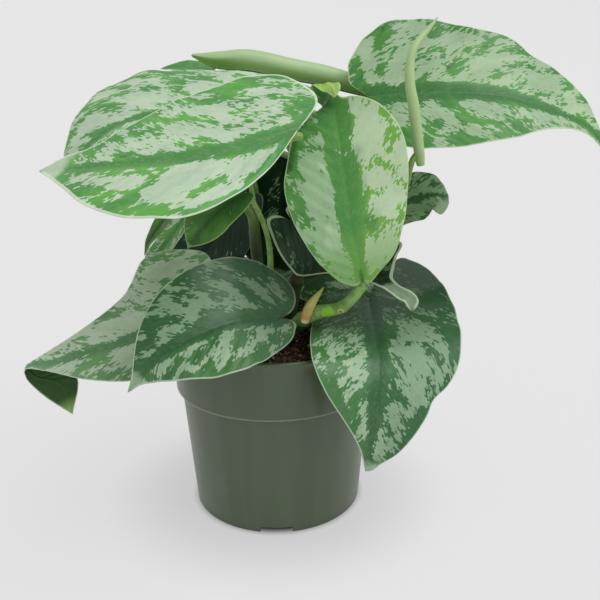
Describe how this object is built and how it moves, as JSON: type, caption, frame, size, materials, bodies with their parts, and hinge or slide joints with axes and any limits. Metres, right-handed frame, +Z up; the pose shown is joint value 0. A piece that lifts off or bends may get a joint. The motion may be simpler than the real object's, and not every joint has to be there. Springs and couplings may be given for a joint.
{
  "type": "satin pothos plant in a nursery pot",
  "caption": "Potted satin pothos: heart-shaped leaves mottled in silver on green stems, with new leaves still rolled, in a tapered nursery pot of peat soil.",
  "frame": {"origin": "centre of the pot's flat base, on the surface that it stands on", "axes": "+Z up along the pot's axis, -Y the front of the plant, +X to the right as seen from the front"},
  "size_m": [0.2777, 0.2064, 0.2427],
  "materials": {
    "pot": "satin moulded polypropylene",
    "soil": "loose dark peat",
    "stem": "smooth green skin",
    "sheath": "dry pale yellow skin",
    "new_leaf": "smooth pale green",
    "young_leaf": "satin, mottled in silver",
    "old_leaf": "satin, mottled in silver"
  },
  "bodies": {
    "root": {"pot": "pot", "soil": "soil", "stem_front": "stem", "stem_back": "stem", "stem_left": "stem", "sheath_front": "sheath", "leaf_rolled": "new_leaf", "leaf_spear": "new_leaf", "leaf_top_left_front": "young_leaf", "leaf_top_left_back": "young_leaf", "leaf_top_right": "young_leaf", "leaf_centre": "young_leaf", "leaf_low_left_front": "old_leaf", "leaf_low_right": "old_leaf", "leaf_low_left_folded": "old_leaf", "leaf_hanging": "old_leaf", "leaf_inner": "old_leaf", "leaf_small_left": "old_leaf", "leaf_strip_left": "young_leaf", "leaf_right_back": "old_leaf", "leaf_back_left_low": "old_leaf", "leaf_back_right_low": "old_leaf", "leaf_back_left_high": "young_leaf", "leaf_back_right_high": "young_leaf", "leaf_back_low": "old_leaf", "leaf_back_middle": "old_leaf", "leaf_small_top": "young_leaf"}
  },
  "joints": []
}
